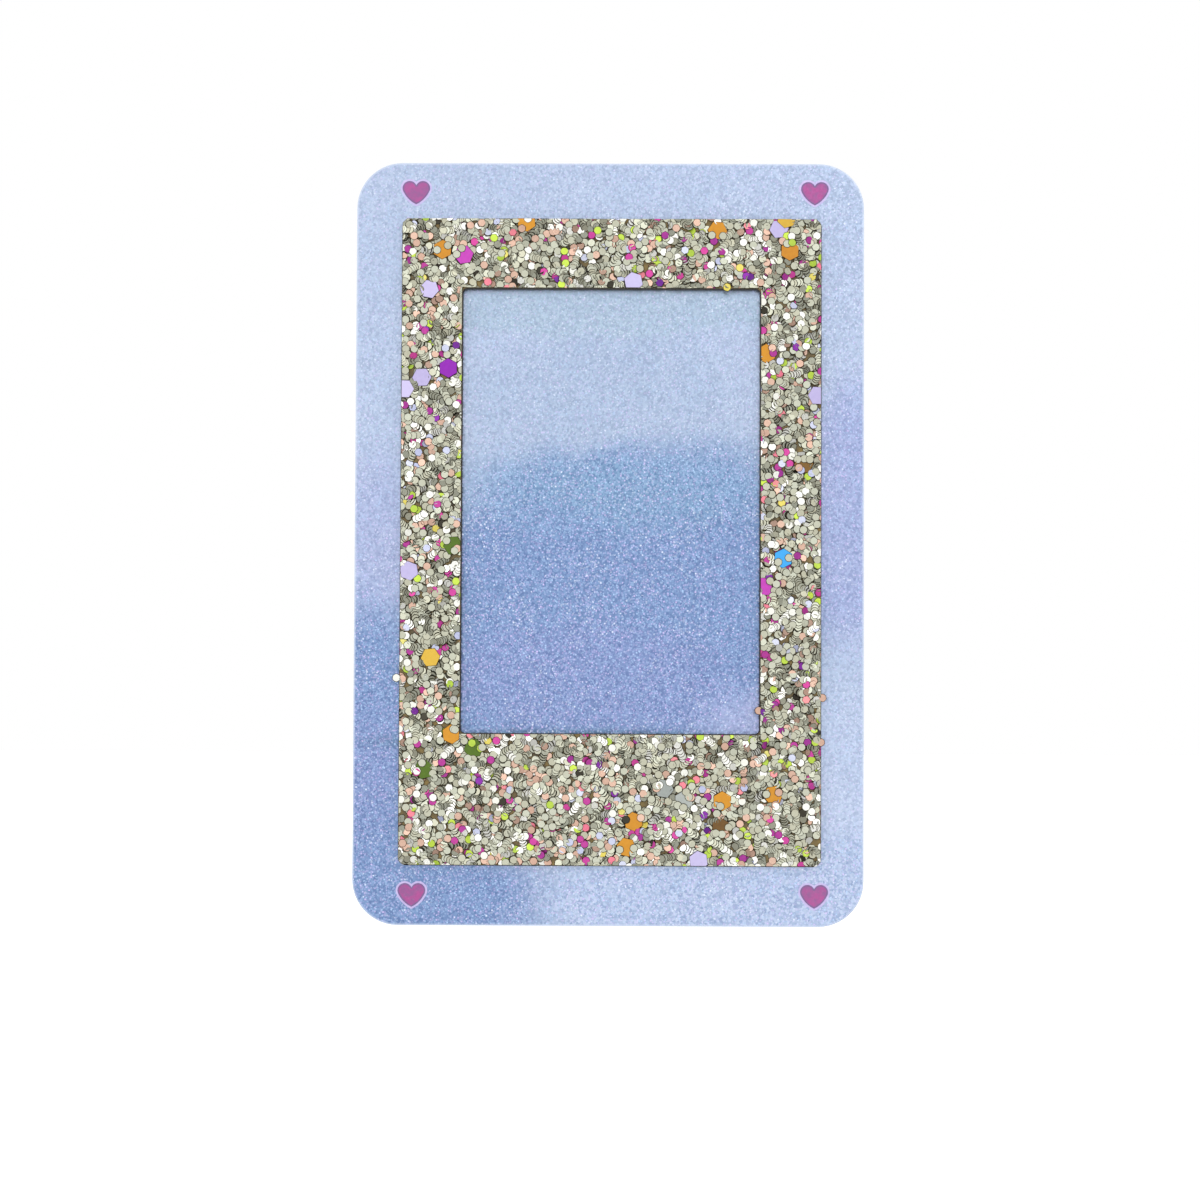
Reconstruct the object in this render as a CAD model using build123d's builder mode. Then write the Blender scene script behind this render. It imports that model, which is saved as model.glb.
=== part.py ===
from build123d import *
import os
import random

# Magnetic photo frame on its display card.
# Millimetres, +Z up, the front faces -Y, +X is the viewer's right.
# The origin is the centre of the card's back face.

# Card: what shows of it beside the ring and above and below it
card_side_margin = 5.95
card_end_margin = 7.80
card_corner_radius = 6.0
board_thickness = 0.40
film_thickness = 0.05

# Hearts printed near the corners of the card: a halo, and on it a dark rim round the coloured heart
heart_width = 3.6
heart_height = 3.1
heart_cusp_share = 0.82
heart_lobe_share = 0.27
heart_hip_share_x = 0.478
heart_hip_share_z = 0.556
heart_side_share_x = 0.345
heart_side_share_z = 0.309
heart_rim_width = 0.20
heart_inset_x = 7.15
heart_inset_z = 3.95
heart_shift_x = 0.65
halo_margin = 0.25
ink_thickness = 0.02

# Removable glue dots between card and ring
glue_dot_diameter = 6.0
glue_dot_thickness = 0.20
glue_dot_rows = 3

# Glitter ring, die-cut through all its layers at once
window_width = 39.3
window_height = 58.65
window_corner_radius = 0.7
border_side = 7.9
border_top = 9.15
border_bottom = 17.1
ring_corner_radius = 1.0
ring_shift_x = 0.20
ring_shift_z = 0.17
magnet_overhang = 0.10
magnet_thickness = 0.75
adhesive_thickness = 0.08
fabric_thickness = 0.35
glitter_bed_thickness = 0.45

# Small hexagonal flakes on the glitter bed
flake_width = 1.0
flake_thickness = 0.06
flake_gap = 0.05
flake_seed = 11
flake_columns = 20
flake_rows_top = 3
flake_rows_bottom = 6
flake_columns_side = 3
flake_rows_side = 20
flake_colour_shares = {
    "champagne": 0.44,
    "silver": 0.15,
    "rose": 0.14,
    "coral": 0.04,
    "lime": 0.05,
    "yellow": 0.02,
    "magenta": 0.07,
    "violet": 0.03,
    "lilac": 0.06,
}

# Large hexagonal sequins: the border each lies on, and its place as shares of that border's width and height
sequin_width = 2.1
sequin_thickness = 0.08
sequin_place_shares = {
    "orange": [
        ("top", 0.096, 0.455), ("top", 0.296, 0.054), ("top", 0.752, 0.169), ("top", 0.925, 0.462),
        ("right", 0.088, 0.147), ("left", 0.871, 1.001), ("bottom", 0.888, 0.458), ("bottom", 0.767, 0.504),
        ("bottom", 0.557, 0.664), ("bottom", 0.540, 0.859),
    ],
    "gold": [("left", 0.513, 0.830)],
    "lilac": [
        ("top", 0.899, 0.145), ("top", 0.065, 1.027), ("top", 0.552, 0.910), ("left", 0.338, 0.203),
        ("left", 0.052, 0.229), ("right", 0.939, 0.241), ("left", 0.148, 0.637), ("bottom", 0.711, 0.957),
    ],
    "magenta": [("top", 0.147, 0.531), ("right", 0.078, 0.669)],
    "purple": [("left", 0.778, 0.182)],
    "green": [("left", 0.875, 0.580), ("bottom", 0.177, 0.111), ("bottom", 0.060, 0.273)],
    "brown": [("right", 0.712, 0.395), ("bottom", 0.764, 0.708)],
    "blue": [("right", 0.373, 0.606)],
    "silver": [("bottom", 0.629, 0.411), ("bottom", 0.676, 0.501)],
}

# Sequins that lie across another one, a sequin's thickness further out
upper_sequin_place_shares = {"gold": [("top", 0.917, 0.0)]}

hexagon_sides = 6
hexagon_corner_ratio = 2 / 3**0.5
hexagon_turn = 60.0

# Derived sizes
ring_width = window_width + 2 * border_side
ring_height = window_height + border_top + border_bottom
card_width = ring_width + 2 * card_side_margin
card_height = ring_height + 2 * card_end_margin
window_shift_z = ring_shift_z + (border_bottom - border_top) / 2
film_front = board_thickness + film_thickness
ring_back = film_front + glue_dot_thickness

os.makedirs("parts", exist_ok=True)


def save(piece, name):
    piece.part.label = name
    export_step(piece.part, f"parts/{name}.step")


def card_layer(name, back, thickness):
    with BuildPart() as layer:
        with BuildSketch(Plane.XZ.offset(back)):
            RectangleRounded(card_width, card_height, card_corner_radius)
        extrude(amount=thickness)
    save(layer, name)


def heart_outline(margin):
    half_height = heart_height / 2
    cusp = (0, heart_height * heart_cusp_share - half_height)
    lobe_top = (heart_width * heart_lobe_share, half_height)
    hip = (heart_width * heart_hip_share_x, heart_height * heart_hip_share_z - half_height)
    side = (heart_width * heart_side_share_x, heart_height * heart_side_share_z - half_height)
    tip = (0, -half_height)
    with BuildSketch() as outline:
        with BuildLine():
            ThreePointArc(cusp, lobe_top, hip)
            ThreePointArc(hip, side, tip)
            mirror(about=Plane.YZ)
        make_face()
        if margin != 0:
            offset(amount=margin)
    return outline.sketch


def heart_layer(name, back, margin, hole_margin=None):
    # Hearts grown or shrunk by a margin; with a second margin, only the band between the two
    spacing_x = card_width - 2 * heart_inset_x
    spacing_z = card_height - 2 * heart_inset_z
    with BuildPart() as layer:
        with BuildSketch(Plane.XZ.offset(back)):
            with Locations((heart_shift_x, 0)):
                with GridLocations(spacing_x, spacing_z, 2, 2):
                    add(heart_outline(margin))
                    if hole_margin is not None:
                        add(heart_outline(hole_margin), mode=Mode.SUBTRACT)
        extrude(amount=ink_thickness)
    save(layer, name)


def glue_dots():
    row_span = ring_height - (border_top + border_bottom) / 2
    column_span = ring_width - border_side
    rows_centre_z = ring_shift_z + (border_bottom - border_top) / 4
    with BuildPart() as dots:
        with BuildSketch(Plane.XZ.offset(film_front)):
            with Locations((ring_shift_x, rows_centre_z)):
                with GridLocations(column_span, row_span / (glue_dot_rows - 1), 2, glue_dot_rows):
                    Circle(glue_dot_diameter / 2)
        extrude(amount=glue_dot_thickness)
    save(dots, "glue_dots")


def ring_outline(overhang):
    window_size = (window_width - 2 * overhang, window_height - 2 * overhang)
    with BuildSketch() as outline:
        with Locations((ring_shift_x, ring_shift_z)):
            RectangleRounded(ring_width + 2 * overhang, ring_height + 2 * overhang, ring_corner_radius + overhang)
        with Locations((ring_shift_x, window_shift_z)):
            RectangleRounded(*window_size, window_corner_radius - overhang, mode=Mode.SUBTRACT)
    return outline.sketch


def ring_layer(name, back, thickness, overhang):
    with BuildPart() as layer:
        with BuildSketch(Plane.XZ.offset(back)):
            add(ring_outline(overhang))
        extrude(amount=thickness)
    save(layer, name)


def flake_layer(name, back, places):
    with BuildPart() as layer:
        with BuildSketch(Plane.XZ.offset(back)):
            with Locations(*places):
                RegularPolygon(flake_width / 2, hexagon_sides, major_radius=False)
        extrude(amount=flake_thickness, clean=False)
    save(layer, name)


def sequin_layer(name, back, tiers):
    # A sequin that crosses the cut is trimmed flush with it, as the die does it
    with BuildPart() as layer:
        for tier, places in enumerate(tiers):
            with BuildSketch(Plane.XZ.offset(back + tier * sequin_thickness)):
                with Locations(*places):
                    RegularPolygon(sequin_width / 2, hexagon_sides, major_radius=False)
                add(ring_outline(0), mode=Mode.INTERSECT)
            extrude(amount=sequin_thickness)
    save(layer, name)


def border_strips():
    # Left edge, top edge, width and height of each border of the ring
    left = ring_shift_x - ring_width / 2
    top = ring_shift_z + ring_height / 2
    window_top = top - border_top
    window_right = left + border_side + window_width
    return {
        "top": (left, top, ring_width, border_top),
        "left": (left, window_top, border_side, window_height),
        "right": (window_right, window_top, border_side, window_height),
        "bottom": (left, window_top - window_height, ring_width, border_bottom),
    }


def sequin_point(strip, share_x, share_z):
    left, top, width, height = border_strips()[strip]
    return (left + share_x * width, top - share_z * height)


def scatter_flakes(sequin_points):
    # One flake in each cell of the borders, moved about within the cell and turned by a seeded draw
    scatter = random.Random(flake_seed)
    colours = list(flake_colour_shares)
    weights = list(flake_colour_shares.values())
    reach = (flake_width * hexagon_corner_ratio + flake_gap) / 2
    clearance = sequin_width * hexagon_corner_ratio / 2 + reach
    cells = {
        "top": (flake_columns, flake_rows_top),
        "left": (flake_columns_side, flake_rows_side),
        "right": (flake_columns_side, flake_rows_side),
        "bottom": (flake_columns, flake_rows_bottom),
    }
    places = {colour: [] for colour in colours}
    for strip, (left, top, width, height) in border_strips().items():
        columns, rows = cells[strip]
        cell_width = width / columns
        cell_height = height / rows
        play_x = cell_width / 2 - reach
        play_z = cell_height / 2 - reach
        for column in range(columns):
            for row in range(rows):
                x = left + (column + 1 / 2) * cell_width + scatter.uniform(-play_x, play_x)
                z = top - (row + 1 / 2) * cell_height + scatter.uniform(-play_z, play_z)
                turn = scatter.uniform(0, hexagon_turn)
                colour = scatter.choices(colours, weights)[0]
                if all((x - px) ** 2 + (z - pz) ** 2 > clearance**2 for px, pz in sequin_points):
                    places[colour].append(Location((x, z), turn))
    return places


card_layer("backing_card", 0, board_thickness)
card_layer("holographic_film", board_thickness, film_thickness)
heart_layer("heart_halos", film_front, halo_margin)
heart_layer("heart_rims", film_front + ink_thickness, 0, hole_margin=-heart_rim_width)
heart_layer("heart_prints", film_front + ink_thickness, -heart_rim_width)
glue_dots()

# Thickness of each layer of the ring, from the back, and how far it reaches beyond the cloth's cut edge
layer_back = ring_back
for layer_name, (layer_thickness, layer_overhang) in {
    "magnet_sheet": (magnet_thickness, magnet_overhang),
    "adhesive_sheet": (adhesive_thickness, 0),
    "fabric_backing": (fabric_thickness, 0),
    "glitter_bed": (glitter_bed_thickness, 0),
}.items():
    ring_layer(layer_name, layer_back, layer_thickness, layer_overhang)
    layer_back += layer_thickness
bed_front = layer_back

turner = random.Random(flake_seed)
sequin_points = []
for colour, shares in sequin_place_shares.items():
    tiers = []
    for tier_shares in (shares, upper_sequin_place_shares.get(colour, [])):
        points = [sequin_point(*share) for share in tier_shares]
        sequin_points += points
        if points:
            tiers.append([Location(point, turner.uniform(0, hexagon_turn)) for point in points])
    sequin_layer(f"sequins_{colour}", bed_front, tiers)

for colour, flake_places in scatter_flakes(sequin_points).items():
    flake_layer(f"flakes_{colour}", bed_front, flake_places)
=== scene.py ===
import math
from collections import namedtuple

import bpy
import numpy as np
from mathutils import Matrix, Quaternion, Vector
from mathutils.geometry import convex_hull_2d


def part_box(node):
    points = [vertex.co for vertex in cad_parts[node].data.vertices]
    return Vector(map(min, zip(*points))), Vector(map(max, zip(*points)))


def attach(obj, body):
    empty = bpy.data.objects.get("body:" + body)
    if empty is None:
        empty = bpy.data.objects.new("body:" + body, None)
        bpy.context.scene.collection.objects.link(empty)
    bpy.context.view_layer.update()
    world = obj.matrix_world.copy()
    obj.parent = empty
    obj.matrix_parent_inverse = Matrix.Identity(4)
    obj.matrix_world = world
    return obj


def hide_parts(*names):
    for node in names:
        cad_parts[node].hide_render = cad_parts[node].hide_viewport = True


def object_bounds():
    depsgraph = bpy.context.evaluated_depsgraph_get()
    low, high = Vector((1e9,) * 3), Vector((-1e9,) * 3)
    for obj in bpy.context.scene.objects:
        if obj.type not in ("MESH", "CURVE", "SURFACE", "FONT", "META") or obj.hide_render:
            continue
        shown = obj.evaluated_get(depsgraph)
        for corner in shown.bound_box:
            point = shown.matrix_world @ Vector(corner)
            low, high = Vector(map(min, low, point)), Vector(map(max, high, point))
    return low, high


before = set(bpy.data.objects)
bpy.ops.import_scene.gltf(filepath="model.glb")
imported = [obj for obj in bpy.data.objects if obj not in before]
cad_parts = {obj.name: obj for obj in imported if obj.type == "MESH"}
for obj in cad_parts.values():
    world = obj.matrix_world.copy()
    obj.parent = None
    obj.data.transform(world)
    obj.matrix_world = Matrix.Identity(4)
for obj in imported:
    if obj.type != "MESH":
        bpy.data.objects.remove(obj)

cad_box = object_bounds()

# Lengths below are in millimetres and become metres only where Blender gets them
MM = 0.001

# Camera, fitted to the card's and the ring's corners in the photograph
camera_lens = 90.0
camera_sensor = 36.0
camera_place = (2.25, -394.40, -24.77)
camera_aim = (-1.17, 0.0, -7.52)
camera_roll = 0.25

# Glitter heap: a height field of small cells, which reaches past the ring's cut edges
heap_seed = 5
heap_cell = 0.06
grid_margin = 1.6
resin_thickness = 0.06
outer_corner_radius = 1.0

# Flakes and sequins as they are drawn
hexagon_sides = 6
hexagon_turn = 2 * math.pi / hexagon_sides
flake_width = 1.05
flake_thickness = 0.045
flake_corner_cut = 0.20
sequin_growth = 1.10
sequin_thickness = 0.06
rim_width = 0.07

# Fillers: single flakes, and runs of flakes that were cut in one stack
filler_count = 4550
run_count = 780
run_kinds = ("champagne", "silver")
run_lengths = (3, 7)
run_steps = (0.22, 0.42)
run_slopes = (0.15, 0.60)
run_stray = 0.05
last_filler_share = 0.60
scatter_margin = 0.4
places_weighed = 4

# How a piece comes to rest on the heap
lean_share = 0.7
settled_lean_share = 0.4
tilt_spread = 0.17
steepest_slope = 1.0
sink_share = 0.12
filler_headroom = 0.08
sequin_headroom = 0.05
sequin_clearance = 0.65
cover_distances = (0.70, 1.20)

# Which flakes are drawn: those that show enough, and all near a cut edge
hidden_share = 0.055
edge_band = 0.7

# Tones of single flakes, from 0 for a scorched one to 1 for the light tone of its colour
scorched_share = 0.006
darkest_tone = 0.25
stray_tone = 0.35

# Stray flakes over the ring's edges: colour, and place across and up
stray_slope = np.array((0.10, 0.05))
stray_flakes = (
    ("silver", -27.75, -17.9),
    ("rose", 27.95, -20.3),
    ("yellow", 15.37, 33.60),
    ("rose", 19.65, -22.0),
    ("rose", 27.75, -26.1),
)

# Share of each colour among the filler flakes, and its dark and light tone, metalness and roughness
flake_kinds = {
    "champagne": (0.59, (0.32, 0.31, 0.235), (0.385, 0.398, 0.325), 0.95, 0.20),
    "silver": (0.12, (0.54, 0.54, 0.49), (0.68, 0.68, 0.64), 0.95, 0.20),
    "rose": (0.135, (0.36, 0.23, 0.175), (0.53, 0.36, 0.28), 0.90, 0.22),
    "coral": (0.009, (0.60, 0.10, 0.19), (0.70, 0.24, 0.25), 0.35, 0.30),
    "lime": (0.028, (0.25, 0.36, 0.025), (0.48, 0.64, 0.060), 0.30, 0.30),
    "yellow": (0.004, (0.52, 0.42, 0.05), (0.70, 0.64, 0.18), 0.30, 0.30),
    "magenta": (0.050, (0.19, 0.010, 0.18), (0.50, 0.045, 0.25), 0.50, 0.28),
    "violet": (0.004, (0.08, 0.006, 0.16), (0.21, 0.02, 0.31), 0.55, 0.28),
    "lilac": (0.025, (0.31, 0.33, 0.48), (0.48, 0.50, 0.60), 0.60, 0.25),
}

# Number of flakes that lie across each sequin of a colour, and its dark and light tone, metalness
# and roughness
sequin_kinds = {
    "orange": (2, (0.34, 0.12, 0.005), (0.48, 0.21, 0.010), 0.45, 0.30),
    "gold": (0, (0.38, 0.23, 0.016), (0.52, 0.33, 0.035), 0.45, 0.30),
    "lilac": (0, (0.33, 0.29, 0.49), (0.44, 0.40, 0.60), 0.40, 0.30),
    "magenta": (2, (0.30, 0.022, 0.25), (0.42, 0.040, 0.36), 0.50, 0.30),
    "purple": (0, (0.17, 0.005, 0.28), (0.26, 0.012, 0.38), 0.50, 0.28),
    "green": (3, (0.042, 0.080, 0.002), (0.085, 0.165, 0.004), 0.45, 0.30),
    "brown": (5, (0.090, 0.042, 0.005), (0.180, 0.090, 0.012), 0.45, 0.35),
    "blue": (2, (0.012, 0.16, 0.42), (0.03, 0.28, 0.62), 0.45, 0.30),
    "silver": (5, (0.21, 0.23, 0.22), (0.30, 0.32, 0.30), 0.80, 0.28),
}

# Foil of the flakes and sequins: the tones at which it is scorched, dark and light, the tint of the cut
# rim, which is partly the dark cut edge and partly painted shadow between flakes, and a little cloudiness
# and relief
scorched = (0.035, 0.032, 0.024)
scorched_stop = 0.11
dark_stop = 0.15
light_stop = 0.95
rim_and_shadow_tint = (0.14, 0.115, 0.07)
foil_cloud_scale = 1.8
foil_cloud_band = (0.3, 0.7)
foil_cloudiness = 0.10
foil_relief_scale = 6.0
foil_relief_depth = 0.004


def add_object(name, data):
    made = bpy.data.objects.new(name, data)
    bpy.context.scene.collection.objects.link(made)
    return made


# Node trees

def feed(tree, socket, value):
    if isinstance(value, bpy.types.NodeSocket):
        tree.links.new(value, socket)
    else:
        socket.default_value = value


def add_node(tree, kind, inputs=None, **settings):
    made = tree.nodes.new(kind)
    for key, value in settings.items():
        setattr(made, key, value)
    for key, value in (inputs or {}).items():
        feed(tree, made.inputs[key], value)
    return made


def new_material(name):
    material = bpy.data.materials.new(name)
    material.use_nodes = True
    return material, material.node_tree, material.node_tree.nodes["Principled BSDF"]


def set_surface(tree, shader, **values):
    # Each value goes to the shader's input of that name, such as base_color to Base Color
    for key, value in values.items():
        feed(tree, shader.inputs[key.replace("_", " ").title()], value)


def opaque(colour):
    return (*colour, 1.0)


def vector_math(tree, operation, *values, result="Vector"):
    inputs = dict(enumerate(values))
    return add_node(tree, "ShaderNodeVectorMath", inputs, operation=operation).outputs[result]


def scaled(tree, vector, factor):
    inputs = {0: vector, "Scale": factor}
    return add_node(tree, "ShaderNodeVectorMath", inputs, operation="SCALE").outputs["Vector"]


def scalar_math(tree, operation, *values):
    inputs = dict(enumerate(values))
    return add_node(tree, "ShaderNodeMath", inputs, operation=operation).outputs["Value"]


def millimetre_coordinates(tree):
    place = add_node(tree, "ShaderNodeTexCoord").outputs["Object"]
    return scaled(tree, place, 1 / MM)


def mix_colour(tree, factor, first, second, blend="MIX"):
    # By number, since a Mix node has sockets of the same name for values, vectors and colours
    inputs = {0: factor, 6: first, 7: second}
    return add_node(tree, "ShaderNodeMix", inputs, data_type="RGBA", blend_type=blend).outputs[2]


def noise(tree, coordinates, scale, detail=2.0, result="Fac"):
    inputs = {"Vector": coordinates, "Scale": scale, "Detail": detail}
    return add_node(tree, "ShaderNodeTexNoise", inputs).outputs[result]


def remap(tree, value, low, high, to_low=0.0, to_high=1.0, interpolation="LINEAR"):
    inputs = {"Value": value, "From Min": low, "From Max": high, "To Min": to_low, "To Max": to_high}
    made = add_node(tree, "ShaderNodeMapRange", inputs, interpolation_type=interpolation)
    return made.outputs["Result"]


def ramp(tree, value, stops, interpolation="LINEAR"):
    made = add_node(tree, "ShaderNodeValToRGB", {"Fac": value})
    made.color_ramp.interpolation = interpolation
    for index, (place, colour) in enumerate(stops):
        # A new ramp already has two stops
        element = made.color_ramp.elements[index] if index < 2 else made.color_ramp.elements.new(place)
        element.position = place
        element.color = opaque(colour)
    return made.outputs["Color"]


def cloudy_colour(tree, place, tones, clouds, band):
    # Drifts between two tones by a noise of the scale and detail in clouds, over a band of its values
    return ramp(tree, noise(tree, place, *clouds), zip(band, tones))


def bump(tree, height, distance):
    inputs = {"Height": height, "Distance": distance * MM, "Strength": 1.0}
    return add_node(tree, "ShaderNodeBump", inputs).outputs["Normal"]


# Film on the card

# Colours of the film: its ground, the tints of its painted reflections of the studio, and the painted
# shadow at the window's foot
film_light = (0.324, 0.393, 0.522)
film_pale = (0.358, 0.426, 0.562)
film_cyan = (0.285, 0.372, 0.470)
film_haze = (0.288, 0.362, 0.486)
film_foot_shadow = (0.075, 0.155, 0.270)
film_deep = (0.131, 0.214, 0.389)
film_teal = (0.145, 0.255, 0.402)
film_lavender = (0.150, 0.212, 0.398)
film_violet = (0.262, 0.310, 0.492)
film_lilac = (0.290, 0.338, 0.500)

# Sparkle, painted glints on the film's grain: a dot in each cell of a fine grain, fading from its core to
# its radius, in one of four tints
speckle_pitch = 0.26
speckle_radius = 0.19
speckle_core = 0.06
speckle_rarity = 0.20
speckle_tints = (
    (0.00, (0.36, 0.50, 0.72)),
    (0.35, (0.43, 0.43, 0.71)),
    (0.60, (0.53, 0.42, 0.71)),
    (0.85, (0.62, 0.66, 0.80)),
)
pale_glint_gain = 0.65
tint_drift = 0.25
tint_drift_scale = 0.16
tint_drift_band = (0.35, 0.65)

# Grain: how it shades light and deep film, the luma of both, where it is coarse and how far it leans
grain_shade_light = (0.68, 0.70, 0.75)
grain_shade_deep = (0.50, 0.57, 0.68)
grain_light_luma = 0.37
grain_deep_luma = 0.25
coarse_part = ((20.0, -47.0), (30.0, 9.0), 8.0)
grain_lean = 0.12

# Soft clouds of the film, painted reflections of the studio's light and dark areas: centre and radii
# across and up, width of the soft border, colour
film_reflection_clouds = (
    ((0.0, 17.0), (18.0, 13.0), 9.0, film_haze),
    ((0.0, 31.0), (24.0, 4.0), 5.0, film_cyan),
    ((4.0, -14.0), (32.0, 26.0), 9.0, film_deep),
    ((2.0, 7.0), (20.0, 5.0), 18.0, film_teal),
    ((-3.0, -18.0), (20.0, 7.0), 8.0, film_lavender),
    ((19.0, -24.0), (7.0, 5.0), 5.0, film_violet),
    ((32.0, -24.0), (6.0, 18.0), 8.0, film_light),
    ((32.0, 4.0), (6.0, 17.0), 8.0, film_violet),
    ((-31.0, 0.0), (6.0, 10.0), 8.0, film_lilac),
    ((-32.0, -38.0), (9.0, 30.0), 8.0, film_deep),
    ((-32.0, -30.0), (5.0, 8.0), 8.0, film_lavender),
    ((-24.0, -47.0), (15.0, 7.0), 8.0, film_deep),
    ((20.0, -47.0), (26.0, 9.0), 8.0, film_pale),
    ((31.0, -34.0), (6.0, 14.0), 8.0, film_pale),
)

# The clouds' borders wander by a slow noise: how far, and its scale and detail
cloud_warp = 6.0
cloud_swirl = (0.11, 3.0)
noise_middle = (0.5, 0.5, 0.5)

# A dark teal streak at the window's foot, a painted shadow of the ring's edge on the film, and a pale line
# along the card's cut edge
ring_shadow_streak = ((-4.0, -26.2), (26.0, 1.6), 9.0)
film_edge = (0.42, 0.47, 0.57)
film_edge_width = 0.30
card_corner_radius = 6.0

# Surface of the film, and of the ink on it
film_surface = {"metallic": 0.70, "roughness": 0.30, "coat_weight": 0.50, "coat_roughness": 0.10}
ink_surface = {"metallic": 0.60, "roughness": 0.34, "coat_weight": 0.50, "coat_roughness": 0.10}
ink_clouds = (1.3, 3.0)
ink_band = (0.35, 0.65)


def soft_ellipse(tree, place, centre, radii, border):
    # One inside the ellipse, fading to zero across its soft border
    shifted = vector_math(tree, "SUBTRACT", place, (centre[0], 0.0, centre[1]))
    rounded = vector_math(tree, "MULTIPLY", shifted, (1 / radii[0], 0.0, 1 / radii[1]))
    distance = vector_math(tree, "LENGTH", rounded, result="Value")
    softness = border / sum(radii)
    return remap(tree, distance, 1 + softness, 1 - softness, interpolation="SMOOTHSTEP")


def card_edge(tree, place):
    # One at the card's outline, fading to zero within the width of the edge line
    low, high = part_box("holographic_film")
    middle = (low + high) / 2 / MM
    straight = (high - low) / 2 / MM - Vector((card_corner_radius, 0, card_corner_radius))
    mirrored = vector_math(tree, "ABSOLUTE", vector_math(tree, "SUBTRACT", place, middle))
    beyond = vector_math(tree, "MAXIMUM", vector_math(tree, "SUBTRACT", mirrored, straight), (0, 0, 0))
    flat = vector_math(tree, "MULTIPLY", beyond, (1, 0, 1))
    distance = vector_math(tree, "LENGTH", flat, result="Value")
    return remap(tree, distance, card_corner_radius - film_edge_width, card_corner_radius)


def film_painted_light(tree, place):
    # The painted reflection clouds in their order, each over those before it, and the painted shadow
    # streak over all
    swirl = vector_math(tree, "SUBTRACT", noise(tree, place, *cloud_swirl, result="Color"), noise_middle)
    warped = vector_math(tree, "ADD", place, scaled(tree, swirl, cloud_warp))
    colour = opaque(film_light)
    for centre, radii, border, tint in film_reflection_clouds:
        colour = mix_colour(tree, soft_ellipse(tree, warped, centre, radii, border), colour, opaque(tint))
    return mix_colour(tree, soft_ellipse(tree, place, *ring_shadow_streak), colour, opaque(film_foot_shadow))


def film_pattern(tree):
    # Colour of the film with its painted reflection clouds and painted glints, and a normal that leans
    # another way from grain to grain
    place = millimetre_coordinates(tree)
    colour = film_painted_light(tree, place)
    grain = add_node(tree, "ShaderNodeTexVoronoi", {"Vector": place, "Scale": 1 / speckle_pitch})
    parts = add_node(tree, "ShaderNodeSeparateColor", {"Color": grain.outputs["Color"]}).outputs

    # The grain is stronger where the film is deep in colour and along the foot of the card
    luma = add_node(tree, "ShaderNodeRGBToBW", {"Color": colour}).outputs["Val"]
    depth = remap(tree, luma, grain_light_luma, grain_deep_luma)
    depth = scalar_math(tree, "MAXIMUM", depth, soft_ellipse(tree, place, *coarse_part))
    shade = mix_colour(tree, depth, opaque(grain_shade_light), opaque(grain_shade_deep))
    shaded = mix_colour(tree, 1.0, colour, shade, "MULTIPLY")
    colour = mix_colour(tree, remap(tree, parts["Blue"], 0.0, 1.0), shaded, colour)

    # Sparkling dots, painted glints whose tint drifts slowly across the film
    radii = (speckle_radius / speckle_pitch, speckle_core / speckle_pitch)
    dot = remap(tree, grain.outputs["Distance"], *radii)
    painted_glint = scalar_math(tree, "MULTIPLY", dot, remap(tree, parts["Green"], speckle_rarity, 1.0))
    gain = remap(tree, depth, 0.0, 1.0, pale_glint_gain, 1.0)
    painted_glint = scalar_math(tree, "MULTIPLY", painted_glint, gain)
    slow = noise(tree, place, tint_drift_scale)
    drift = remap(tree, slow, *tint_drift_band, -tint_drift, tint_drift)
    tints = ramp(tree, scalar_math(tree, "ADD", parts["Red"], drift), speckle_tints, "CONSTANT")
    colour = mix_colour(tree, painted_glint, colour, tints)
    colour = mix_colour(tree, card_edge(tree, place), colour, opaque(film_edge))

    lean = scaled(tree, vector_math(tree, "SUBTRACT", grain.outputs["Color"], noise_middle), grain_lean)
    facing = add_node(tree, "ShaderNodeNewGeometry").outputs["Normal"]
    return colour, vector_math(tree, "NORMALIZE", vector_math(tree, "ADD", facing, lean))


def film_material():
    material, tree, shader = new_material("iridescent_film")
    colour, normal = film_pattern(tree)
    set_surface(tree, shader, base_color=colour, normal=normal, **film_surface)
    return material


def print_material(name, dark, light, film_share):
    # Ink on the film, a little uneven: a share of the film's colour still shows in it
    material, tree, shader = new_material(name)
    film, normal = film_pattern(tree)
    ink = cloudy_colour(tree, millimetre_coordinates(tree), (dark, light), ink_clouds, ink_band)
    colour = mix_colour(tree, film_share, ink, film)
    set_surface(tree, shader, base_color=colour, normal=normal, **ink_surface)
    return material


# Plain layers: their dark and light tone, the noise of their clouds and of their relief by its scale
# and detail, and the depth of the relief

plain_looks = {
    "white_board": {
        "tones": ((0.51, 0.50, 0.48), (0.61, 0.60, 0.58)),
        "clouds": (3.0, 6.0),
        "relief": (5.0, 5.0),
        "relief_depth": 0.02,
        "roughness": 0.75,
    },
    "flexible_magnet": {
        "tones": ((0.016, 0.014, 0.013), (0.050, 0.044, 0.040)),
        "clouds": (9.0, 4.0),
        "relief": (9.0, 4.0),
        "relief_depth": 0.01,
        "roughness": 0.55,
        "band": (0.25, 0.75),
    },
    "clear_glue": {
        "tones": ((0.70, 0.69, 0.62), (0.82, 0.81, 0.76)),
        "clouds": (1.5, 3.0),
        "relief": (4.0, 2.0),
        "relief_depth": 0.02,
        "roughness": 0.30,
    },
    "dark_adhesive": {
        "tones": ((0.030, 0.026, 0.022), (0.070, 0.060, 0.050)),
        "clouds": (1.5, 3.0),
        "relief": (4.0, 2.0),
        "relief_depth": 0.02,
        "roughness": 0.30,
    },
    "brown_resin": {
        "tones": ((0.055, 0.036, 0.005), (0.19, 0.12, 0.015)),
        "clouds": (0.9, 3.0),
        "relief": (2.5, 3.0),
        "relief_depth": 0.06,
        "roughness": 0.45,
        "coat_weight": 0.1,
    },
}
cloth_weave = {"Scale": 0.62, "Distortion": 0.6}
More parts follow.
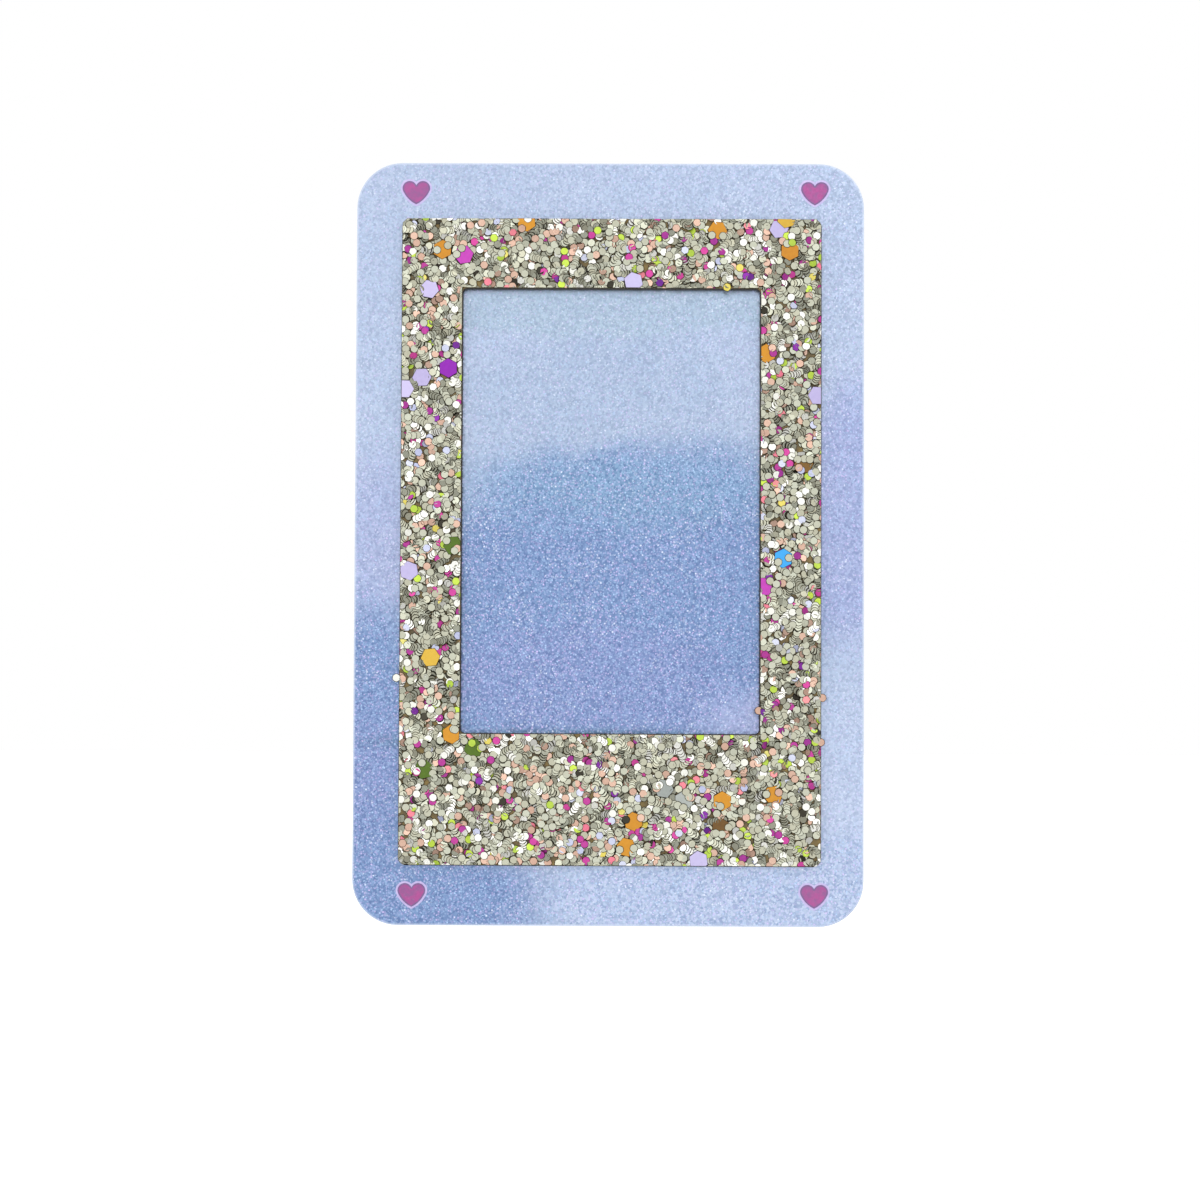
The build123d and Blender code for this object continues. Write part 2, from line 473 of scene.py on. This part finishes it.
cloth_stops = ((0.10, (0.020, 0.019, 0.018)), (0.85, (0.085, 0.080, 0.074)))
cloth_relief_depth = 0.05
cloth_roughness = 0.90


def plain_material(name):
    look = {"band": (0.30, 0.70), "coat_weight": 0.0, **plain_looks[name]}
    material, tree, shader = new_material(name)
    place = millimetre_coordinates(tree)
    set_surface(
        tree,
        shader,
        base_color=cloudy_colour(tree, place, look["tones"], look["clouds"], look["band"]),
        normal=bump(tree, noise(tree, place, *look["relief"]), look["relief_depth"]),
        roughness=look["roughness"],
        coat_weight=look["coat_weight"],
    )
    return material


def cloth_material():
    material, tree, shader = new_material("backing_cloth")
    inputs = {"Vector": millimetre_coordinates(tree), **cloth_weave}
    warp, weft = (
        add_node(tree, "ShaderNodeTexWave", inputs, bands_direction=way).outputs["Fac"] for way in "XZ"
    )
    threads = scalar_math(tree, "MAXIMUM", warp, weft)
    colour = ramp(tree, threads, cloth_stops)
    normal = bump(tree, threads, cloth_relief_depth)
    set_surface(tree, shader, base_color=colour, normal=normal, roughness=cloth_roughness)
    return material


def foil_material(name, dark, light, metallic, roughness):
    # Each flake has a tone of its own, a little cloudiness across it and a darker cut rim, partly painted
    # shadow between the flakes
    material, tree, shader = new_material(name)
    place = millimetre_coordinates(tree)
    tone = add_node(tree, "ShaderNodeAttribute", attribute_name="tone").outputs["Fac"]
    rim = add_node(tree, "ShaderNodeAttribute", attribute_name="rim").outputs["Fac"]
    clouds = noise(tree, place, foil_cloud_scale)
    cloudy = remap(tree, clouds, *foil_cloud_band, -foil_cloudiness, foil_cloudiness)
    stops = ((scorched_stop, scorched), (dark_stop, dark), (light_stop, light))
    colour = ramp(tree, scalar_math(tree, "ADD", tone, cloudy), stops)
    edge = mix_colour(tree, 1.0, colour, opaque(rim_and_shadow_tint), "MULTIPLY")
    set_surface(
        tree,
        shader,
        base_color=mix_colour(tree, rim, colour, edge),
        normal=bump(tree, noise(tree, place, foil_relief_scale), foil_relief_depth),
        metallic=metallic,
        roughness=roughness,
    )
    return material


def dress(node, material):
    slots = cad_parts[node].data.materials
    slots.clear()
    slots.append(material)


# The prints have their dark and light ink, and the share of the film's colour that shows in them
dress("backing_card", plain_material("white_board"))
dress("holographic_film", film_material())
dress("heart_halos", print_material("halo_print", (0.39, 0.32, 0.56), (0.45, 0.37, 0.60), 0.15))
dress("heart_rims", print_material("rim_print", (0.12, 0.05, 0.16), (0.15, 0.065, 0.19), 0.04))
dress("heart_prints", print_material("heart_print", (0.20, 0.045, 0.18), (0.30, 0.032, 0.19), 0.04))
dress("glue_dots", plain_material("clear_glue"))
dress("magnet_sheet", plain_material("flexible_magnet"))
dress("adhesive_sheet", plain_material("dark_adhesive"))
dress("fabric_backing", cloth_material())


# Glitter: where the ring's borders are

bed_low, bed_high = (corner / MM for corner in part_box("glitter_bed"))
heap_back = bed_high.y - resin_thickness
front_nodes = [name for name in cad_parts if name.startswith(("flakes_", "sequins_"))]
heap_front = min(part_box(name)[0].y for name in front_nodes) / MM
heap_room = heap_back - heap_front
place_digits = 3


def find_window():
    # The window's corners are those that lie further in than the rounding of the ring's outer corners
    corners = [v.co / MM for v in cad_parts["glitter_bed"].data.vertices]
    border = outer_corner_radius * 2
    inner = [c for c in corners if bed_low.x + border < c.x < bed_high.x - border]
    across = [c.x for c in inner]
    up = [c.z for c in inner]
    return min(across), max(across), min(up), max(up)


window_left, window_right, window_bottom, window_top = find_window()


def node_outlines(name):
    # Depth of the back, centre and outline of every separate solid of a node, seen from the front
    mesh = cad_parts[name].data
    places = [tuple(round(value / MM, place_digits) for value in vertex.co) for vertex in mesh.vertices]
    linked = list(range(len(places)))

    def root(index):
        while linked[index] != index:
            index = linked[index]
        return index

    by_place = {}
    for index, place in enumerate(places):
        linked[index] = by_place.setdefault(place, index)
    for edge in mesh.edges:
        first, second = (root(index) for index in edge.vertices)
        linked[max(first, second)] = min(first, second)
    groups = {}
    for index, place in enumerate(places):
        groups.setdefault(root(index), set()).add(place)
    outlines = []
    for group in groups.values():
        depth = max(y for x, y, z in group)
        corners = sorted({(x, z) for x, y, z in group})
        hull = np.array([corners[index] for index in convex_hull_2d([Vector(c) for c in corners])])
        centre = (hull.min(axis=0) + hull.max(axis=0)) / 2
        outlines.append((depth, centre, counter_clockwise(hull - centre)))
    return outlines


def counter_clockwise(outline):
    # An outline as it is, or turned round where its signed area is below zero
    following = np.roll(outline, -1, axis=0)
    area = (outline[:, 0] * following[:, 1] - outline[:, 1] * following[:, 0]).sum()
    return outline if area > 0 else outline[::-1]


def hexagon(width, turn):
    # As wide as that across its flats, with its corners cut off as small punched flakes have them
    angles = turn + np.arange(hexagon_sides) * 2 * math.pi / hexagon_sides
    corners = np.column_stack((np.cos(angles), np.sin(angles))) * width / math.sqrt(3)
    before = corners + (np.roll(corners, 1, axis=0) - corners) * flake_corner_cut
    after = corners + (np.roll(corners, -1, axis=0) - corners) * flake_corner_cut
    return np.stack((before, after), axis=1).reshape(-1, 2)


Flake = namedtuple("Flake", "kind centre outline slope lift thickness tone")


class Heap:
    """Flakes dropped one by one on a height field, each leaning on what lies under it."""

    def __init__(self, seed):
        self.random = np.random.default_rng(seed)
        self.low = np.array((bed_low.x - grid_margin, bed_low.z - grid_margin))
        high = np.array((bed_high.x + grid_margin, bed_high.z + grid_margin))
        cells = np.ceil((high - self.low) / heap_cell).astype(int)
        self.height = np.zeros(cells)
        self.owner = np.full(cells, -1)
        self.flakes = []
        self.kept_clear = np.empty((0, 2))

    def random_place(self):
        while True:
            x = self.random.uniform(bed_low.x - scatter_margin, bed_high.x + scatter_margin)
            z = self.random.uniform(bed_low.z - scatter_margin, bed_high.z + scatter_margin)
            if inside_window(x, z) < scatter_margin:
                return np.array((x, z))

    def level(self, place):
        column, row = ((place - self.low) / heap_cell).astype(int)
        return self.height[column, row]

    def low_place(self):
        # Of a few random places, the lowest: glitter runs into hollows
        return min((self.random_place() for index in range(places_weighed)), key=self.level)

    def footprint(self, centre, outline):
        # A block of the grid, which of its cells lie under an outline, and their places from its centre
        reach = np.abs(outline).max() + heap_cell
        start = np.maximum(np.floor((centre - reach - self.low) / heap_cell).astype(int), 0)
        stop = np.ceil((centre + reach - self.low) / heap_cell).astype(int)
        block = (slice(start[0], stop[0]), slice(start[1], stop[1]))
        columns, rows = self.height[block].shape
        across = self.low[0] + (np.arange(columns) + start[0] + 0.5) * heap_cell - centre[0]
        up = self.low[1] + (np.arange(rows) + start[1] + 0.5) * heap_cell - centre[1]
        across, up = np.meshgrid(across, up, indexing="ij")
        under = np.ones(across.shape, bool)
        for corner, following in zip(outline, np.roll(outline, -1, axis=0)):
            side = following - corner
            under &= side[0] * (up - corner[1]) - side[1] * (across - corner[0]) >= 0
        return block, under, np.column_stack((across[under], up[under]))

    def drop(self, kind, centre, outline, thickness, slope=None, headroom=filler_headroom, settled=False):
        # A settled piece lies on the highest points under it, the others tilt and sink in a little
        if len(self.kept_clear) and np.hypot(*(self.kept_clear - centre).T).min() < sequin_clearance:
            return
        block, under, points = self.footprint(centre, outline)
        ground = self.height[block][under]
        if len(ground) == 0:
            return
        if settled:
            slope = self.lean(points, ground) * settled_lean_share
        elif slope is None:
            slope = self.lean(points, ground) * lean_share + self.random.normal(0, tilt_spread, 2)
        slope = slope * min(1, steepest_slope / max(np.hypot(*slope), steepest_slope))
        lift = np.quantile(ground - points @ slope, 1 if settled else 1 - sink_share)
        lift = min(lift, heap_room - headroom - thickness - (outline @ slope).max())
        surface = lift + points @ slope + thickness
        shows = surface > ground
        if shows.mean() < hidden_share:
            return
        owner = self.owner[block][under]
        owner[shows] = len(self.flakes)
        self.owner[block][under] = owner
        self.height[block][under] = np.maximum(ground, surface)
        scorch = self.random.random() < scorched_share
        tone = 0.0 if scorch else self.random.uniform(darkest_tone, 1.0)
        self.flakes.append(Flake(kind, centre, outline, slope, lift, thickness, tone))

    def lean(self, points, ground):
        # The slope of the ground under a piece
        spread = np.maximum((points**2).sum(axis=0), heap_cell**2)
        return (points * (ground - ground.mean())[:, None]).sum(axis=0) / spread

    def drop_flake(self, kind):
        turn = self.random.uniform(0, hexagon_turn)
        self.drop(kind, self.low_place(), hexagon(flake_width, turn), flake_thickness)

    def drop_run(self, kind):
        # Flakes that were cut in one stack slide apart like fish scales, each downhill of the last
        place = self.low_place()
        way = self.random.uniform(0, 2 * math.pi)
        uphill = np.array((math.cos(way), math.sin(way)))
        slope = uphill * self.random.uniform(*run_slopes)
        step = self.random.uniform(*run_steps)
        turn = self.random.uniform(0, hexagon_turn)
        for index in range(self.random.integers(*run_lengths)):
            centre = place - uphill * step * index + self.random.normal(0, run_stray, 2)
            if inside_window(*centre) < scatter_margin:
                self.drop(kind, centre, hexagon(flake_width, turn), flake_thickness, slope=slope)

    def cover(self, kind, centre):
        # A flake that lies across the rim of the sequin at a place
        way = self.random.uniform(0, 2 * math.pi)
        step = self.random.uniform(*cover_distances)
        place = centre + np.array((math.cos(way), math.sin(way))) * step
        if inside_window(*place) < 0:
            turn = self.random.uniform(0, hexagon_turn)
            self.drop(kind, place, hexagon(flake_width, turn), flake_thickness, headroom=0, settled=True)

    def seen(self):
        # Flakes that show from the front or at the cut edges
        cells = np.bincount(self.owner[self.owner >= 0], minlength=len(self.flakes))
        flake_cells = flake_width**2 * math.sqrt(3) / 2 / heap_cell**2
        for flake, count in zip(self.flakes, cells):
            if count > hidden_share * flake_cells or near_cut(*flake.centre):
                yield flake


def inside_window(x, z):
    # How far a place lies inside the window, below zero outside it
    return min(x - window_left, window_right - x, z - window_bottom, window_top - z)


def near_cut(x, z):
    outer = min(x - bed_low.x, bed_high.x - x, z - bed_low.z, bed_high.z - z)
    return outer < edge_band or abs(inside_window(x, z)) < edge_band


def fill_heap():
    heap = Heap(heap_seed)

    def draw_kinds(kinds, count):
        shares = np.array([flake_kinds[kind][0] for kind in kinds])
        return [f"flakes_{kind}" for kind in heap.random.choice(kinds, count, p=shares / shares.sum())]

    def drop_fillers(flake_count, runs):
        drops = [(heap.drop_flake, kind) for kind in draw_kinds(list(flake_kinds), flake_count)]
        drops += [(heap.drop_run, kind) for kind in draw_kinds(run_kinds, runs)]
        heap.random.shuffle(drops)
        for drop, kind in drops:
            drop(kind)

    last_flakes = int(filler_count * last_filler_share)
    last_runs = int(run_count * last_filler_share)
    drop_fillers(filler_count - last_flakes, run_count - last_runs)
    placed = [(name, *piece) for name in front_nodes for piece in node_outlines(name)]
    sequins = [piece for piece in placed if piece[0].startswith("sequins_")]
    flakes = [piece for piece in placed if piece[0].startswith("flakes_")]
    # The sequins furthest back come first and leave room for the one that lies across another one
    sequins.sort(key=lambda piece: -piece[1])
    furthest_back = sequins[0][1]
    for name, depth, centre, outline in sequins:
        headroom = sequin_headroom if depth == furthest_back else 0
        heap.drop(name, centre, outline * sequin_growth, sequin_thickness, headroom=headroom, settled=True)
    heap.kept_clear = np.array([centre for name, depth, centre, outline in sequins])
    drop_fillers(last_flakes, last_runs)
    heap.random.shuffle(flakes)
    for name, depth, centre, outline in flakes:
        heap.drop(name, centre, outline, flake_thickness)
    for name, depth, centre, outline in sequins:
        cover_count = sequin_kinds[name.split("_")[1]][0]
        for kind in draw_kinds(list(flake_kinds), cover_count):
            heap.cover(kind, centre)
    return heap


def cut(corners, across, up, limit, rise=0):
    # What is left of a polygon of (x, z, height) corners where across x + up z + rise height <= limit
    kept = []
    for corner, following in zip(corners, corners[1:] + corners[:1]):
        here = across * corner[0] + up * corner[1] + rise * corner[2] - limit
        there = across * following[0] + up * following[1] + rise * following[2] - limit
        if here <= 0:
            kept.append(corner)
        if here * there < 0:
            share = here / (here - there)
            kept.append(tuple(a + (b - a) * share for a, b in zip(corner, following)))
    return kept


def outer_cuts():
    # The ring's four sides, and a slant across each rounded corner
    sides = [(1, 0, bed_high.x), (-1, 0, -bed_low.x), (0, 1, bed_high.z), (0, -1, -bed_low.z)]
    slant = outer_corner_radius * (2 - math.sqrt(2))
    for across in (1, -1):
        for up in (1, -1):
            x = bed_high.x if across > 0 else bed_low.x
            z = bed_high.z if up > 0 else bed_low.z
            sides.append((across, up, across * x + up * z - slant))
    return sides


def window_cut(x, z):
    # The side of the window that a flake at x, z lies nearest to, from outside
    beyond = {
        (1, 0, window_left): window_left - x,
        (-1, 0, -window_right): x - window_right,
        (0, 1, window_bottom): window_bottom - z,
        (0, -1, -window_top): z - window_top,
    }
    return max(beyond, key=beyond.get)


def flake_corners(centre, outline, slope, lift):
    # The outline laid on its slope, so a steep flake looks narrower from the front
    steep = math.hypot(*slope)
    downhill = slope / steep if steep > 0 else np.array((1.0, 0.0))
    along = outline @ downhill
    shortened = outline + np.outer(along * (1 / math.sqrt(1 + steep**2) - 1), downhill)
    heights = lift + shortened @ slope
    return [(centre[0] + x, centre[1] + z, h) for (x, z), h in zip(shortened, heights)]


def mesh_piece(name, plates):
    # One mesh of thin plates, each given by its back's corners, thickness and tone: the front is a
    # little smaller than the back, so the cut rim slopes
    places, faces, tones, rims = [], [], [], []
    for corners, thickness, tone in plates:
        count = len(corners)
        middle = np.mean(corners, axis=0)
        reach = np.hypot(*(np.array(corners) - middle).T[:2]).max()
        inset = max(1 - rim_width / reach, 0)
        back = [len(places) + index for index in range(count)]
        front = [index + count for index in back]
        places += [(x * MM, (heap_back - h) * MM, z * MM) for x, z, h in corners]
        for corner in corners:
            x, z, h = middle + (np.array(corner) - middle) * inset
            places.append((x * MM, (heap_back - h - thickness) * MM, z * MM))
        faces += [front, back[::-1]]
        for index in range(count):
            following = (index + 1) % count
            faces.append((front[following], front[index], back[index], back[following]))
        tones += [tone] * (count + 2)
        rims += [0.0, 0.0] + [1.0] * count
    mesh = bpy.data.meshes.new(name)
    mesh.from_pydata(places, [], faces)
    mesh.attributes.new("tone", "FLOAT", "FACE").data.foreach_set("value", tones)
    mesh.attributes.new("rim", "FLOAT", "FACE").data.foreach_set("value", rims)
    mesh.update()
    return add_object(name, mesh)


def trimmed(corners, centre):
    # A flake as the die cuts it at the ring's edges, without what is pressed into the resin
    for side in outer_cuts():
        corners = cut(corners, *side) if corners else corners
    if corners:
        corners = cut(corners, *window_cut(*centre))
    if corners:
        corners = cut(corners, 0, 0, 0, rise=-1)
    return corners


def build_glitter():
    heap = fill_heap()
    kinds = {"flakes": flake_kinds, "sequins": sequin_kinds}
    plates = {name: [] for name in front_nodes}
    for flake in heap.seen():
        corners = flake_corners(flake.centre, flake.outline, flake.slope, flake.lift)
        corners = trimmed(corners, flake.centre)
        if len(corners) > 2:
            plates[flake.kind].append((corners, flake.thickness, flake.tone))
    for kind, x, z in stray_flakes:
        corners = flake_corners(np.array((x, z)), hexagon(flake_width, x), stray_slope, heap_room / 2)
        plates[f"flakes_{kind}"].append((corners, flake_thickness, stray_tone))
    for name in front_nodes:
        family, colour = name.split("_")
        dark, light, metallic, roughness = kinds[family][colour][1:]
        piece = mesh_piece(f"heap_{name}", plates[name])
        piece.data.materials.append(foil_material(f"foil_{name}", dark, light, metallic, roughness))
        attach(piece, "ring")
        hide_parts(name)


def build_resin():
    # The resin's film on the cloth, under the flakes: the bed's outline, made thin. Its copied marks
    # as a node of the frame come off, since it is a piece of the scene.
    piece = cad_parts["glitter_bed"].copy()
    piece.data = piece.data.copy()
    for key in list(piece.keys()):
        del piece[key]
    piece.name = "resin_film"
    piece.parent = None
    for vertex in piece.data.vertices:
        vertex.co.y = max(vertex.co.y, heap_back * MM)
    piece.data.materials.clear()
    piece.data.materials.append(plain_material("brown_resin"))
    bpy.context.scene.collection.objects.link(piece)
    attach(piece, "ring")
    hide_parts("glitter_bed")


build_glitter()
build_resin()


# Floor, light and camera

world_for_camera = 1.0
world_for_object = 0.80
floor_half_width = 3000.0
floor_look = {
    "roughness": 0.9,
    "base_color": opaque((0.88, 0.88, 0.88)),
    "emission_color": opaque((1.0, 1.0, 1.0)),
    "emission_strength": 0.62,
}

# Softboxes: place, width and height in millimetres, and radiance
softboxes = {
    "front": ((0.0, -1000.0, 0.0), 1000.0, 1000.0, 1.0),
    "key": ((300.0, -560.0, 400.0), 520.0, 420.0, 1.15),
    "fill": ((-420.0, -540.0, 240.0), 360.0, 460.0, 1.7),
    "low": ((-60.0, -560.0, -420.0), 420.0, 220.0, 1.7),
    "rear": ((200.0, 450.0, 300.0), 400.0, 300.0, 0.6),
}


def build_world():
    world = bpy.data.worlds.new("studio")
    world.use_nodes = True
    tree = world.node_tree
    tree.nodes.clear()
    white = opaque((1.0, 1.0, 1.0))
    seen = add_node(tree, "ShaderNodeBackground", {"Color": white, "Strength": world_for_camera})
    around = add_node(tree, "ShaderNodeBackground", {"Color": white, "Strength": world_for_object})
    ray = add_node(tree, "ShaderNodeLightPath").outputs["Is Camera Ray"]
    both = add_node(tree, "ShaderNodeMixShader", {0: ray, 1: around.outputs[0], 2: seen.outputs[0]})
    add_node(tree, "ShaderNodeOutputWorld", {"Surface": both.outputs[0]})
    bpy.context.scene.world = world


def build_softbox(name, place, width, height, radiance):
    light = bpy.data.lights.new(name, "AREA")
    light.shape = "RECTANGLE"
    light.size = width * MM
    light.size_y = height * MM
    light.energy = radiance * math.pi * light.size * light.size_y
    lamp = add_object(name, light)
    lamp.location = Vector(place) * MM
    lamp.rotation_euler = (-lamp.location).to_track_quat("-Z", "Y").to_euler()


def build_floor():
    level = cad_box[0].z
    half = floor_half_width * MM
    mesh = bpy.data.meshes.new("floor")
    corners = [(x, y, level) for x, y in ((-half, -half), (half, -half), (half, half), (-half, half))]
    mesh.from_pydata(corners, [], [(0, 1, 2, 3)])
    floor = add_object("floor", mesh)
    material, tree, shader = new_material("pale_floor")
    set_surface(tree, shader, **floor_look)
    mesh.materials.append(material)
    floor.visible_glossy = False


def build_camera():
    data = bpy.data.cameras.new("camera")
    data.lens = camera_lens
    data.sensor_width = camera_sensor
    camera = add_object("camera", data)
    place, aim = (Vector(point) * MM for point in (camera_place, camera_aim))
    camera.location = place
    camera.rotation_mode = "QUATERNION"
    turned = Quaternion((0, 0, 1), math.radians(camera_roll))
    camera.rotation_quaternion = (aim - place).to_track_quat("-Z", "Y") @ turned
    bpy.context.scene.camera = camera


build_world()
for softbox, (place, width, height, radiance) in softboxes.items():
    build_softbox(softbox, place, width, height, radiance)
build_floor()
build_camera()
bpy.context.scene.view_settings.view_transform = "Standard"
